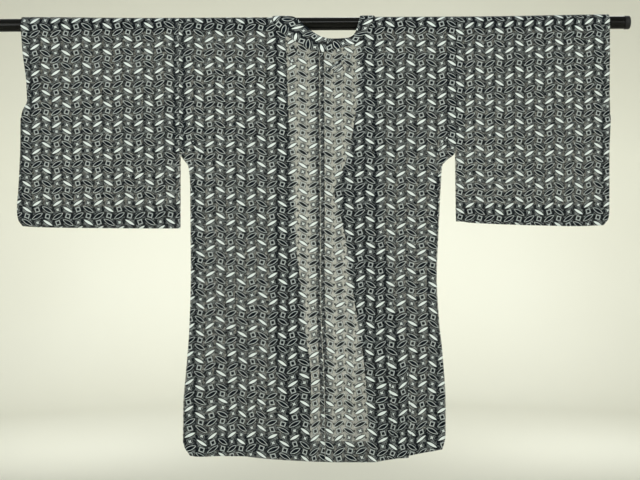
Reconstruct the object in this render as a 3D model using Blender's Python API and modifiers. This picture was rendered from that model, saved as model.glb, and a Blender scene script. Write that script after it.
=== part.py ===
"""A sheer summer kimono overcoat of haori cut, hung on a rod through both sleeves.

The origin is on the rod's axis at the middle of the back. +X is the wearer's right, +Y is the way the wearer
faces, so the back of the coat looks towards -Y, and +Z is up. All sizes are in metres.

Each cloth is laid out flat first, as its cut: x goes across, and run is the length along the cloth from the
top of the rod, more than 0 down the back and less than 0 down the front. drape() then hangs that cut on the rod.
"""
import bisect
import math
from collections import namedtuple

import bmesh
import bpy
from mathutils import Matrix, Vector

# The rod and its end caps
ROD_RADIUS = 0.014
ROD_LEFT_END = -0.722
ROD_RIGHT_END = 0.674
CAP_LENGTH = 0.012
CAP_RADIUS = 0.0148
CAP_EDGE = 0.003

# The cloth
WALL = 0.001
COLLAR_WALL = 0.0022
SEAM_GAP = 0.0003
OVER_ROD = ROD_RADIUS + SEAM_GAP + WALL / 2
QUARTER_TURN = OVER_ROD * math.pi / 2
LAY_GAP = 0.0005
ON_PANEL = WALL / 2 + LAY_GAP + COLLAR_WALL / 2
PRESSED_FOLD = 0.0017

# The body's cut
LEFT_ARMHOLE = -0.3095
RIGHT_ARMHOLE = 0.2995
HEM_DROP = 0.958
ROD_STEPS = 4
PANEL_COLUMNS = 11
COLLAR_OVERLAP = 0.014

# The sleeves' cut
SLEEVE_DROP = 0.448
CUFF_DROP = 0.205
SLEEVE_COLUMNS = 9
BOTTOM_TAPER = 0.22
EDGE_TAPER = 0.10
CUFF_LOFT = 0.003

# The gussets, folded inwards between the back and the front
GUSSET_TOP = 0.335
GUSSET_TOP_DEPTH = 0.014
GUSSET_HEM_DEPTH = 0.028
GUSSET_INSET = 0.002
GUSSET_STEPS = 12
GUSSET_COLUMNS = 6

COLLAR_COLUMNS = 4
COLLAR_STRIDE = 0.035
NECK_STRIDE = 0.009
OVER_ROD_STRIDE = 0.004

# How far below the rod's axis the rows of points lie: closer together where an edge curves
NECK_ROWS = (0.000, 0.012, 0.024, 0.036, 0.046, 0.058, 0.072)
PANEL_ROWS = (
    *(0.090, 0.120, 0.155, 0.195, 0.232, 0.262, 0.285, 0.303, 0.320, 0.345, 0.390, 0.440, 0.490),
    *(0.540, 0.590, 0.640, 0.690, 0.740, 0.790, 0.840, 0.885, 0.920, 0.940, 0.951, HEM_DROP),
)
CUFF_ROWS = (0.000, 0.035, 0.070, 0.105, 0.140, 0.168, 0.188)
CLOSED_ROWS = (CUFF_DROP, 0.245, 0.290, 0.335, 0.380, 0.414, 0.433, SLEEVE_DROP - PRESSED_FOLD)

Depth = namedtuple("Depth", "drop depth")
DEPTHS = [
    Depth(0.000, OVER_ROD),
    Depth(0.120, 0.0142),
    Depth(0.300, 0.0125),
    Depth(0.600, 0.0120),
    Depth(0.960, 0.0130),
]

Side = namedtuple("Side", "drop x")
LEFT_SIDE = [
    Side(0.000, LEFT_ARMHOLE),
    Side(0.232, LEFT_ARMHOLE),
    Side(0.279, -0.304),
    Side(0.301, -0.297),
    Side(0.325, -0.289),
    Side(0.347, -0.287),
    Side(0.540, -0.286),
    Side(0.675, -0.290),
    Side(0.763, -0.297),
    Side(0.851, -0.304),
    Side(0.928, -0.305),
    Side(0.943, -0.301),
    Side(HEM_DROP, -0.289),
]
RIGHT_SIDE = [
    Side(0.000, RIGHT_ARMHOLE),
    Side(0.232, RIGHT_ARMHOLE),
    Side(0.290, 0.293),
    Side(0.303, 0.280),
    Side(0.318, 0.268),
    Side(0.347, 0.266),
    Side(0.446, 0.261),
    Side(0.567, 0.256),
    Side(0.655, 0.260),
    Side(0.743, 0.268),
    Side(0.853, 0.274),
    Side(0.930, 0.273),
    Side(HEM_DROP, 0.266),
]

Hem = namedtuple("Hem", "x drop")
HEM = [
    Hem(-0.305, 0.948),
    Hem(-0.270, 0.954),
    Hem(-0.182, 0.953),
    Hem(-0.138, 0.957),
    Hem(-0.072, 0.963),
    Hem(0.060, 0.968),
    Hem(0.109, 0.968),
    Hem(0.148, 0.962),
    Hem(0.192, 0.954),
    Hem(0.236, 0.946),
    Hem(0.275, 0.939),
]

CentreSeam = namedtuple("CentreSeam", "drop x")
CENTRE_SEAM = [
    CentreSeam(0.000, 0.000),
    CentreSeam(0.600, 0.000),
    CentreSeam(0.820, 0.007),
    CentreSeam(0.960, 0.008),
]

# The neckline of each back panel, which the collar covers
Neckline = namedtuple("Neckline", "run x")
LEFT_NECKLINE = [
    Neckline(0.000, -0.083),
    Neckline(0.018, -0.068),
    Neckline(0.034, -0.050),
    Neckline(0.050, -0.031),
    Neckline(0.063, -0.012),
    Neckline(0.070, 0.000),
]
RIGHT_NECKLINE = [
    Neckline(0.000, 0.103),
    Neckline(0.022, 0.098),
    Neckline(0.044, 0.087),
    Neckline(0.060, 0.066),
    Neckline(0.067, 0.034),
    Neckline(0.070, 0.000),
]

# The collar's seam with the panels, and its free edge or fold, from the left front hem to the right one
Collar = namedtuple("Collar", "seam_x seam_run free_x free_run")
COLLAR = [
    Collar(-0.086, -0.985, -0.025, -0.985),
    Collar(-0.087, -0.900, -0.025, -0.900),
    Collar(-0.098, -0.800, -0.023, -0.800),
    Collar(-0.110, -0.705, -0.035, -0.705),
    Collar(-0.112, -0.620, -0.042, -0.620),
    Collar(-0.108, -0.520, -0.054, -0.520),
    Collar(-0.098, -0.410, -0.060, -0.410),
    Collar(-0.096, -0.305, -0.065, -0.305),
    Collar(-0.099, -0.190, -0.071, -0.190),
    Collar(-0.102, -0.095, -0.074, -0.095),
    Collar(-0.104, -0.040, -0.076, -0.040),
    Collar(-0.104, 0.000, -0.070, -0.002),
    Collar(-0.098, 0.028, -0.057, 0.008),
    Collar(-0.079, 0.048, -0.042, 0.021),
    Collar(-0.054, 0.063, -0.023, 0.037),
    Collar(-0.027, 0.079, -0.005, 0.050),
    Collar(0.001, 0.088, 0.013, 0.057),
    Collar(0.027, 0.084, 0.029, 0.0585),
    Collar(0.052, 0.077, 0.047, 0.058),
    Collar(0.079, 0.069, 0.066, 0.056),
    Collar(0.099, 0.050, 0.078, 0.046),
    Collar(0.113, 0.027, 0.085, 0.026),
    Collar(0.122, 0.000, 0.090, 0.001),
    Collar(0.126, -0.040, 0.090, -0.040),
    Collar(0.126, -0.095, 0.089, -0.095),
    Collar(0.127, -0.155, 0.088, -0.155),
    Collar(0.130, -0.237, 0.077, -0.237),
    Collar(0.134, -0.304, 0.064, -0.304),
    Collar(0.133, -0.352, 0.047, -0.352),
    Collar(0.130, -0.392, 0.031, -0.392),
    Collar(0.134, -0.432, 0.041, -0.432),
    Collar(0.141, -0.500, 0.056, -0.500),
    Collar(0.150, -0.570, 0.065, -0.570),
    Collar(0.160, -0.640, 0.075, -0.640),
    Collar(0.175, -0.720, 0.088, -0.720),
    Collar(0.186, -0.800, 0.098, -0.800),
    Collar(0.192, -0.900, 0.104, -0.900),
    Collar(0.194, -0.987, 0.110, -0.991),
]

SleeveEdge = namedtuple("SleeveEdge", "drop x")
LEFT_SLEEVE_EDGE = [
    SleeveEdge(0.000, -0.657),
    SleeveEdge(0.060, -0.653),
    SleeveEdge(0.130, -0.647),
    SleeveEdge(0.167, -0.647),
    SleeveEdge(0.190, -0.658),
    SleeveEdge(CUFF_DROP, -0.661),
    SleeveEdge(0.266, -0.662),
    SleeveEdge(0.354, -0.666),
    SleeveEdge(0.414, -0.670),
    SleeveEdge(0.433, -0.6675),
    SleeveEdge(SLEEVE_DROP, -0.658),
]
RIGHT_SLEEVE_EDGE = [
    SleeveEdge(0.000, 0.638),
    SleeveEdge(0.085, 0.638),
    SleeveEdge(0.173, 0.641),
    SleeveEdge(CUFF_DROP, 0.642),
    SleeveEdge(0.283, 0.639),
    SleeveEdge(0.414, 0.638),
    SleeveEdge(0.433, 0.636),
    SleeveEdge(SLEEVE_DROP, 0.625),
]

SleeveBottom = namedtuple("SleeveBottom", "x drop")
SLEEVE_BOTTOM = [
    SleeveBottom(-0.665, 0.444),
    SleeveBottom(-0.620, 0.447),
    SleeveBottom(-0.530, 0.449),
    SleeveBottom(-0.310, 0.451),
    SleeveBottom(0.300, 0.438),
    SleeveBottom(0.340, 0.442),
    SleeveBottom(0.480, 0.448),
    SleeveBottom(0.570, 0.450),
    SleeveBottom(0.632, 0.448),
]

# Soft folds in the hung cloth: side is 1 on the back and -1 on the front, and height is more than 0 outwards
Fold = namedtuple("Fold", "side top_x top_drop foot_x foot_drop width height")
FOLDS = [
    Fold(1, 0.136, 0.560, 0.172, 1.050, 0.040, 0.0050),
    Fold(1, 0.205, 0.640, 0.232, 1.050, 0.034, -0.0030),
    Fold(1, 0.064, 0.078, -0.010, 0.160, 0.030, -0.0020),
    Fold(1, -0.066, 0.074, -0.030, 0.150, 0.030, -0.0015),
    Fold(1, -0.120, 0.520, -0.135, 1.050, 0.046, 0.0030),
    Fold(1, -0.215, 0.600, -0.228, 1.050, 0.044, -0.0028),
    Fold(1, 0.052, 0.560, 0.056, 1.050, 0.040, -0.0025),
    Fold(1, -0.250, 0.100, -0.268, 0.420, 0.040, -0.0022),
    Fold(1, 0.236, 0.110, 0.240, 0.430, 0.036, 0.0022),
    Fold(-1, -0.164, 0.480, -0.176, 1.050, 0.042, 0.0035),
    Fold(-1, -0.246, 0.560, -0.252, 1.050, 0.040, -0.0026),
    Fold(-1, 0.218, 0.420, 0.226, 0.700, 0.036, -0.0026),
    Fold(-1, 0.234, 0.660, 0.240, 1.050, 0.034, 0.0030),
    Fold(-1, 0.204, 0.080, 0.190, 0.440, 0.044, 0.0024),
    Fold(-1, -0.180, 0.080, -0.196, 0.440, 0.044, 0.0022),
    Fold(1, -0.420, 0.060, -0.432, 0.400, 0.050, 0.0024),
    Fold(1, -0.545, 0.080, -0.560, 0.380, 0.050, -0.0026),
    Fold(-1, -0.470, 0.060, -0.478, 0.400, 0.052, -0.0024),
    Fold(1, 0.395, 0.070, 0.402, 0.390, 0.048, -0.0024),
    Fold(1, 0.520, 0.060, 0.532, 0.400, 0.052, 0.0026),
    Fold(-1, 0.450, 0.060, 0.462, 0.400, 0.050, 0.0024),
]
FOLD_END = 0.09

Finish = namedtuple("Finish", "colour roughness metallic")
NAVY_GAUZE = Finish((0.145, 0.170, 0.165), 0.75, 0.0)
COLLAR_GAUZE = Finish((0.085, 0.105, 0.110), 0.75, 0.0)
BLACK_PAINT = Finish((0.010, 0.010, 0.009), 0.30, 0.0)
BLACK_PLASTIC = Finish((0.014, 0.014, 0.014), 0.45, 0.0)


def read(table, place, column):
    """A column's value at a place, on a smooth curve through the table's rows that never overshoots."""
    keys = [row[0] for row in table]
    values = [getattr(row, column) for row in table]
    if place <= keys[0]:
        return values[0]
    if place >= keys[-1]:
        return values[-1]
    slopes = [(values[k + 1] - values[k]) / (keys[k + 1] - keys[k]) for k in range(len(keys) - 1)]
    tangents = [slopes[0]]
    for before, after in zip(slopes, slopes[1:]):
        same_way = before * after > 0
        tangents.append(2 * before * after / (before + after) if same_way else 0.0)
    tangents.append(slopes[-1])
    k = bisect.bisect_right(keys, place) - 1
    span = keys[k + 1] - keys[k]
    t = (place - keys[k]) / span
    start = values[k] * (1 + 2 * t) * (1 - t) ** 2 + values[k + 1] * t * t * (3 - 2 * t)
    return start + span * (tangents[k] * t * (1 - t) ** 2 + tangents[k + 1] * t * t * (t - 1))


def ease(value):
    """0 up to 0, 1 from 1 on, and a smooth step between."""
    t = min(max(value, 0.0), 1.0)
    return t * t * (3 - 2 * t)


def blend(start, end, share):
    return start + (end - start) * share


def fold_height(x, drop, side):
    """How far the folds push the cloth outwards at a place on the back or the front."""
    height = 0.0
    for fold in FOLDS:
        if fold.side != side:
            continue
        along = Vector((fold.foot_x - fold.top_x, fold.foot_drop - fold.top_drop))
        to_place = Vector((x - fold.top_x, drop - fold.top_drop))
        reach = to_place.dot(along.normalized())
        ends = ease(reach / FOLD_END) * ease((along.length - reach) / FOLD_END)
        aside = abs(along.normalized().cross(to_place)) / fold.width
        if aside < 1:
            height += fold.height * ends * (0.5 + 0.5 * math.cos(math.pi * aside))
    return height


def sheet_depth(x, drop, side):
    """How far the body's cloth hangs from the rod's axis, towards its own side."""
    return read(DEPTHS, drop, "depth") + fold_height(x, drop, side)


def drape(x, run, proud=0.0):
    """A place of the body's flat cut, hung on the rod, and moved outwards by proud."""
    if abs(run) <= QUARTER_TURN:
        angle = run / OVER_ROD
        radius = OVER_ROD + proud
        return Vector((x, -radius * math.sin(angle), radius * math.cos(angle)))
    side = 1 if run > 0 else -1
    drop = abs(run) - QUARTER_TURN
    return Vector((x, -side * (sheet_depth(x, drop, side) + proud), -drop))


def painted(name, finish):
    """A plain material with one colour, roughness and metallic value."""
    material = bpy.data.materials.new(name)
    material.use_nodes = True
    shader = material.node_tree.nodes["Principled BSDF"]
    shader.inputs["Base Color"].default_value = (*finish.colour, 1.0)
    shader.inputs["Roughness"].default_value = finish.roughness
    shader.inputs["Metallic"].default_value = finish.metallic
    material.diffuse_color = (*finish.colour, 1.0)
    return material


def finished_object(name, mesh, finish, collection):
    """The named object of one piece, with a material of its own."""
    mesh.materials.append(painted(name, finish))
    piece = bpy.data.objects.new(name, mesh)
    collection.objects.link(piece)
    return piece


def cloth_piece(name, points, faces, wall, finish, collection):
    """A wall of cloth: an open surface through its points, thickened evenly to both sides."""
    mesh = bpy.data.meshes.new(name)
    mesh.from_pydata(points, [], faces)
    mesh.validate()
    sewn = bmesh.new()
    sewn.from_mesh(mesh)
    bmesh.ops.recalc_face_normals(sewn, faces=sewn.faces)
    sewn.to_mesh(mesh)
    sewn.free()
    mesh.shade_smooth()
    piece = finished_object(name, mesh, finish, collection)
    wall_maker = piece.modifiers.new("wall", "SOLIDIFY")
    wall_maker.thickness = wall
    wall_maker.offset = 0.0
    wall_maker.use_even_offset = True
    return piece


def strip_faces(rows, columns):
    """The four-sided faces of a grid of rows by columns of points."""
    faces = []
    for row in range(rows - 1):
        for column in range(columns - 1):
            corner = row * columns + column
            faces.append((corner, corner + 1, corner + columns + 1, corner + columns))
    return faces


def panel_runs():
    """The places of a body panel's rows along the cloth, from the back hem over the rod to the front hem."""
    over = [QUARTER_TURN * step / ROD_STEPS for step in range(ROD_STEPS)]
    neck = [QUARTER_TURN + drop for drop in NECK_ROWS]
    below = [QUARTER_TURN + drop for drop in PANEL_ROWS]
    back = over + neck + below
    front = over[1:] + neck[::3] + below
    return back[::-1] + [-run for run in front]


def inner_edge(run, left):
    """The x of a body panel's edge at the centre seam, at the neck or under the collar."""
    if run > LEFT_NECKLINE[-1].run:
        seam = read(CENTRE_SEAM, run - QUARTER_TURN, "x")
        return seam - SEAM_GAP / 2 if left else seam + SEAM_GAP / 2
    if run > 0:
        edge = read(LEFT_NECKLINE if left else RIGHT_NECKLINE, run, "x")
        return min(edge, -SEAM_GAP / 2) if left else max(edge, SEAM_GAP / 2)
    front_rows = [row for row in COLLAR if row.seam_run < 0 and (row.seam_x < 0) == left]
    front_rows = sorted(front_rows, key=lambda row: row.seam_run)
    by_run = [Neckline(row.seam_run, row.seam_x) for row in front_rows]
    overlap = COLLAR_OVERLAP if left else -COLLAR_OVERLAP
    top = (LEFT_NECKLINE if left else RIGHT_NECKLINE)[0]
    by_run = [Neckline(row.run, row.x + overlap) for row in by_run] + [top]
    return read(by_run, run, "x")


def body_panel(name, left, collection):
    """One length of cloth from the back hem, over the rod, to the front hem."""
    points = []
    runs = panel_runs()
    for run in runs:
        drop = max(abs(run) - QUARTER_TURN, 0.0)
        outer = read(LEFT_SIDE if left else RIGHT_SIDE, drop, "x")
        inner = inner_edge(run, left)
        for column in range(PANEL_COLUMNS + 1):
            x = blend(inner, outer, column / PANEL_COLUMNS)
            to_hem = 1 + (read(HEM, x, "drop") / HEM_DROP - 1) * (drop / HEM_DROP) ** 2
            side = 1 if run > 0 else -1
            hung = side * (QUARTER_TURN + drop * to_hem) if drop > 0 else run
            points.append(drape(x, hung))
    faces = strip_faces(len(runs), PANEL_COLUMNS + 1)
    return cloth_piece(name, points, faces, WALL, NAVY_GAUZE, collection)


def sleeve_depth(x, drop, side, edge):
    """How far a sleeve's cloth hangs from the rod's axis: it closes at the bottom and below the cuff opening."""
    from_edge = min(abs(edge - x) / EDGE_TAPER, 1.0)
    closed = ease((drop - 0.3 * CUFF_DROP) / (0.7 * CUFF_DROP))
    at_edge = 1 - closed * (1 - from_edge) ** 2
    at_bottom = min(max((drop - SLEEVE_DROP + BOTTOM_TAPER) / BOTTOM_TAPER, 0.0), 1.0)
    loft = CUFF_LOFT * ease(1 - abs(edge - x) / 0.30) * (1 - closed)
    full = sheet_depth(x, drop, side) + loft
    return PRESSED_FOLD + (full - PRESSED_FOLD) * at_edge * (1 - at_bottom ** 2)


def sleeve_point(x, run, edge):
    """A place of a sleeve's flat cut, hung on the rod."""
    lift = CUFF_LOFT * ease(1 - abs(edge - x) / 0.30)
    if abs(run) <= QUARTER_TURN:
        angle = run / OVER_ROD
        radius = OVER_ROD + lift
        return Vector((x, -radius * math.sin(angle), radius * math.cos(angle)))
    side = 1 if run > 0 else -1
    drop = abs(run) - QUARTER_TURN
    return Vector((x, -side * sleeve_depth(x, drop, side, edge), -drop))


def sleeve(name, left, collection):
    """A tube of cloth round the rod, folded at its bottom and closed below the cuff opening."""
    edge_table = LEFT_SLEEVE_EDGE if left else RIGHT_SLEEVE_EDGE
    armhole = LEFT_ARMHOLE - SEAM_GAP if left else RIGHT_ARMHOLE + SEAM_GAP
    outwards = -1 if left else 1
    over = [QUARTER_TURN * step / ROD_STEPS for step in range(ROD_STEPS)]
    half = over + [QUARTER_TURN + drop for drop in CUFF_ROWS + CLOSED_ROWS]
    bottom = len(half)
    runs = half + [None] + [-run for run in half[:0:-1]]
    points = []
    for column in range(SLEEVE_COLUMNS + 1):
        for run in runs:
            drop = SLEEVE_DROP if run is None else max(abs(run) - QUARTER_TURN, 0.0)
            edge = read(edge_table, drop, "x")
            x = blend(armhole, edge, column / SLEEVE_COLUMNS)
            to_bottom = 1 + (read(SLEEVE_BOTTOM, x, "drop") / SLEEVE_DROP - 1) * (drop / SLEEVE_DROP) ** 2
            if run is None:
                points.append(Vector((x, 0.0, -drop * to_bottom)))
                continue
            point = sleeve_point(x, run, edge)
            if drop > 0:
                point.z = -drop * to_bottom
            points.append(point)
    round_count = len(runs)
    faces = []
    for column in range(SLEEVE_COLUMNS):
        for place in range(round_count):
            following = (place + 1) % round_count
            here = column * round_count
            there = here + round_count
            faces.append((here + place, here + following, there + following, there + place))
    last = SLEEVE_COLUMNS * round_count
    first_closed = len(over) + len(CUFF_ROWS)
    fold_start = len(points)
    for place in range(first_closed, bottom):
        beside = points[last + place]
        points.append(Vector((beside.x + outwards * PRESSED_FOLD, 0.0, beside.z)))
    for place in range(first_closed, bottom - 1):
        fold = fold_start + place - first_closed
        back = last + place
        front = last + round_count - place
        faces.append((back, back + 1, fold + 1, fold))
        faces.append((fold, fold + 1, front - 1, front))
    fold_end = fold_start + bottom - 1 - first_closed
    faces.append((last + bottom - 1, last + bottom, fold_end))
    faces.append((fold_end, last + bottom, last + bottom + 1))
    return cloth_piece(name, points, faces, WALL, NAVY_GAUZE, collection)


def through(before, start, end, after, share):
    """A point on a smooth curve between start and end that also follows the rows before and after."""
    return 0.5 * (
        2 * start
        + (end - before) * share
        + (2 * before - 5 * start + 4 * end - after) * share ** 2
        + (3 * start - before - 3 * end + after) * share ** 3
    )


def collar_sections():
    """The collar's cross lines in the flat cut: close together round the neck and wider apart on the fronts."""
    sections = []
    for k in range(len(COLLAR) - 1):
        around = [COLLAR[max(k - 1, 0)], COLLAR[k], COLLAR[k + 1], COLLAR[min(k + 2, len(COLLAR) - 1)]]
        lengths = math.dist(COLLAR[k][:2], COLLAR[k + 1][:2]), math.dist(COLLAR[k][2:], COLLAR[k + 1][2:])
        runs = [COLLAR[k].free_run, COLLAR[k + 1].free_run]
        stride = COLLAR_STRIDE
        if max(runs) > -QUARTER_TURN:
            stride = OVER_ROD_STRIDE if min(runs) < QUARTER_TURN else NECK_STRIDE
        steps = max(1, round(max(lengths) / stride))
        for step in range(steps):
            values = [through(*(row[c] for row in around), step / steps) for c in range(4)]
            sections.append(Collar(*values))
    return sections + [COLLAR[-1]]


def collar(name, collection):
    """The folded neck band, on the outside of the panels, from hem to hem round the back of the neck."""
    points = []
    sections = collar_sections()
    for section in sections:
        for column in range(COLLAR_COLUMNS + 1):
            share = column / COLLAR_COLUMNS
            x = blend(section.seam_x, section.free_x, share)
            run = blend(section.seam_run, section.free_run, share)
            points.append(drape(x, run, ON_PANEL))
    faces = strip_faces(len(sections), COLLAR_COLUMNS + 1)
    return cloth_piece(name, points, faces, COLLAR_WALL, COLLAR_GAUZE, collection)


def gusset(name, left, collection):
    """A side strip sewn between the back and the front, which folds inwards as the coat hangs flat."""
    outwards = -1 if left else 1
    points = []
    for row in range(GUSSET_STEPS + 1):
        share = row / GUSSET_STEPS
        drop = blend(GUSSET_TOP, HEM_DROP, share)
        side_x = read(LEFT_SIDE if left else RIGHT_SIDE, drop, "x")
        edge = side_x - outwards * GUSSET_INSET
        to_hem = 1 + (read(HEM, edge, "drop") / HEM_DROP - 1) * (drop / HEM_DROP) ** 2
        hung = drop * to_hem
        inside = WALL + SEAM_GAP
        back = sheet_depth(edge, hung, 1) - inside
        front = sheet_depth(edge, hung, -1) - inside
        fold = blend(GUSSET_TOP_DEPTH, GUSSET_HEM_DEPTH, share)
        for column in range(GUSSET_COLUMNS + 1):
            turn = math.pi * column / GUSSET_COLUMNS
            x = edge - outwards * fold * math.sin(turn)
            half = back if turn < math.pi / 2 else front
            points.append(Vector((x, -half * math.cos(turn), -hung)))
    faces = strip_faces(GUSSET_STEPS + 1, GUSSET_COLUMNS + 1)
    return cloth_piece(name, points, faces, WALL, NAVY_GAUZE, collection)


def round_bar(name, start, end, radius, segments, finish, collection):
    """A solid round bar along X, from start to end."""
    mesh = bpy.data.meshes.new(name)
    bar = bmesh.new()
    turn = Matrix.Rotation(math.pi / 2, 4, "Y")
    place = Matrix.Translation(((start + end) / 2, 0, 0)) @ turn
    bmesh.ops.create_cone(
        bar,
        cap_ends=True,
        segments=segments,
        radius1=radius,
        radius2=radius,
        depth=abs(end - start),
        matrix=place,
    )
    bar.to_mesh(mesh)
    bar.free()
    return finished_object(name, mesh, finish, collection)


def rod_with_caps(collection):
    """The painted rod, and a plain cap with a rounded edge over each of its ends."""
    round_bar("rod", ROD_LEFT_END, ROD_RIGHT_END, ROD_RADIUS, 48, BLACK_PAINT, collection)
    for name, start, outwards in (("rod_cap_left", ROD_LEFT_END, -1), ("rod_cap_right", ROD_RIGHT_END, 1)):
        near = start + outwards * SEAM_GAP
        far = near + outwards * CAP_LENGTH
        cap = round_bar(name, min(near, far), max(near, far), CAP_RADIUS, 32, BLACK_PLASTIC, collection)
        rounding = cap.modifiers.new("rounded edge", "BEVEL")
        rounding.width = CAP_EDGE
        rounding.segments = 3
        rounding.limit_method = "ANGLE"


def main():
    for old in list(bpy.data.objects):
        bpy.data.objects.remove(old)
    coat = bpy.data.collections.new("kimono overcoat on a rod")
    bpy.context.scene.collection.children.link(coat)
    body_panel("body_left", True, coat)
    body_panel("body_right", False, coat)
    sleeve("sleeve_left", True, coat)
    sleeve("sleeve_right", False, coat)
    collar("collar", coat)
    gusset("gusset_left", True, coat)
    gusset("gusset_right", False, coat)
    rod_with_caps(coat)


main()
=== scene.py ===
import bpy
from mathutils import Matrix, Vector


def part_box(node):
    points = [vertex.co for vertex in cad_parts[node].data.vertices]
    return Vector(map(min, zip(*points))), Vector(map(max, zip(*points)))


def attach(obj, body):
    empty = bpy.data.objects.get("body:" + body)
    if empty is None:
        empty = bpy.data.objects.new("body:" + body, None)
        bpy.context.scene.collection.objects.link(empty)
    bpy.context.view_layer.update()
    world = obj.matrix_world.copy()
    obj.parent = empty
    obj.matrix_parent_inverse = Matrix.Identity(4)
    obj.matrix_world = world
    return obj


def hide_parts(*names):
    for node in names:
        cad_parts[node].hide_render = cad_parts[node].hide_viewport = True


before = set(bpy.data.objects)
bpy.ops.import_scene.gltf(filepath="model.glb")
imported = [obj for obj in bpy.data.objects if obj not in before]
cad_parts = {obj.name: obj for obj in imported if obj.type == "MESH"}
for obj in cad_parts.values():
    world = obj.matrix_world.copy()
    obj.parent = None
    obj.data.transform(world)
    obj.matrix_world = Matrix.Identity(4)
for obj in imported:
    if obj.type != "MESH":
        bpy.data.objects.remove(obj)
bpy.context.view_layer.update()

# A sheer summer kimono overcoat of haori cut, hung on a black rod and seen from behind.
# Every size is in metres, in the frame of the solids: the origin is on the rod's axis at the middle of the
# back, +X is the wearer's right, +Y is the way the wearer faces and +Z is up. Each cloth is laid out as its
# flat cut first: x goes across, and run is the length along the cloth from the top of the rod, more than 0
# down the back.
import math
from collections import namedtuple

import bmesh
import bpy
import numpy as np
from mathutils import Matrix


def tabled(columns, *rows):
    """A short table: rows whose values have the columns' names."""
    row_kind = namedtuple("Row", columns)
    return [row_kind(*row) for row in rows]


# The rod and its caps
ROD_RADIUS = 0.014
CAP_RADIUS = 0.0148
ROD_SIDES = 96
ROD_EDGE = 0.0008
CAP_LIP = 0.0006
CAP_EDGE = 0.0035
GROOVE_PLACE = 0.0032
GROOVE_DEPTH = 0.0004

# The cloth
WALL = 0.001
SHELL = 0.00035
COLLAR_WALL = 0.0022
SEAM_GAP = 0.0003
LAY_GAP = 0.0005
OVER_ROD = ROD_RADIUS + SEAM_GAP + WALL / 2
QUARTER_TURN = OVER_ROD * math.pi / 2
ON_PANEL = WALL / 2 + LAY_GAP + COLLAR_WALL / 2
PRESSED_FOLD = 0.0015
TURNED_IN = 0.0009
TURNED_IN_OVER_ROD = 0.0005

# The cut
LEFT_ARMHOLE = -0.3095
RIGHT_ARMHOLE = 0.2995
HEM_DROP = 0.958
SLEEVE_DROP = 0.448
SLEEVE_WIDTH = 0.345
CUFF_DROP = 0.205
BOTTOM_TAPER = 0.22
EDGE_TAPER = 0.10
CUFF_LOFT = 0.003
CUFF_LOFT_REACH = 0.30
COLLAR_OVERLAP = 0.014
GUSSET_TOP = 0.335
GUSSET_TOP_DEPTH = 0.014
GUSSET_HEM_DEPTH = 0.028
GUSSET_INSET = 0.002

# The allowances turned to the inside
HEM_TURN = 0.045
CENTRE_TURN = 0.010
ARMHOLE_TURN = 0.017
ARMHOLE_DROP = 0.28
SLEEVE_SEAM_TURN = 0.015
CUFF_TURN = 0.026
SLEEVE_BOTTOM_TURN = 0.046
SLEEVE_EDGE_TURN = 0.018
SLEEVE_BOTTOM_ASIDE = 0.00045
SLEEVE_EDGE_ASIDE = 0.00099
PRESSED_OVER = 0.02

# The woven repeat: four motifs across and four down
REPEAT_ACROSS = 0.0910
REPEAT_DOWN = 0.0573
MOTIFS = 4

# The mesh's steps: along the cloth, over the rod, and along the collar and its stitches
FINE = 0.0055
OVER_ROD_STEP = 0.0018
COLLAR_STEP = 0.004
STITCHED_STEP = 0.008
WELD = 0.00001

DEPTHS = tabled(
    "drop depth",
    (0.000, OVER_ROD),
    (0.120, 0.0142),
    (0.300, 0.0125),
    (0.600, 0.0120),
    (0.960, 0.0130),
)

LEFT_SIDE = tabled(
    "drop x",
    (0.000, LEFT_ARMHOLE),
    (0.232, LEFT_ARMHOLE),
    (0.286, -0.309),
    (0.299, -0.302),
    (0.313, -0.291),
    (0.325, -0.289),
    (0.347, -0.287),
    (0.540, -0.286),
    (0.675, -0.290),
    (0.763, -0.297),
    (0.851, -0.304),
    (0.928, -0.305),
    (0.943, -0.301),
    (HEM_DROP, -0.289),
)
RIGHT_SIDE = tabled(
    "drop x",
    (0.000, RIGHT_ARMHOLE),
    (0.232, RIGHT_ARMHOLE),
    (0.283, 0.299),
    (0.295, 0.292),
    (0.303, 0.280),
    (0.318, 0.268),
    (0.347, 0.266),
    (0.446, 0.261),
    (0.567, 0.256),
    (0.655, 0.260),
    (0.743, 0.268),
    (0.853, 0.274),
    (0.930, 0.273),
    (HEM_DROP, 0.266),
)

HEM = tabled(
    "x drop",
    (-0.305, 0.948),
    (-0.270, 0.954),
    (-0.182, 0.953),
    (-0.138, 0.957),
    (-0.072, 0.963),
    (0.060, 0.968),
    (0.109, 0.968),
    (0.148, 0.962),
    (0.192, 0.954),
    (0.236, 0.946),
    (0.275, 0.939),
)

CENTRE_SEAM = tabled(
    "drop x",
    (0.000, 0.000),
    (0.600, 0.000),
    (0.820, 0.007),
    (0.960, 0.008),
)

LEFT_NECKLINE = tabled(
    "run x",
    (0.000, -0.083),
    (0.018, -0.068),
    (0.034, -0.050),
    (0.050, -0.031),
    (0.063, -0.012),
    (0.070, 0.000),
)
RIGHT_NECKLINE = tabled(
    "run x",
    (0.000, 0.103),
    (0.022, 0.098),
    (0.044, 0.087),
    (0.060, 0.066),
    (0.067, 0.034),
    (0.070, 0.000),
)

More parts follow.
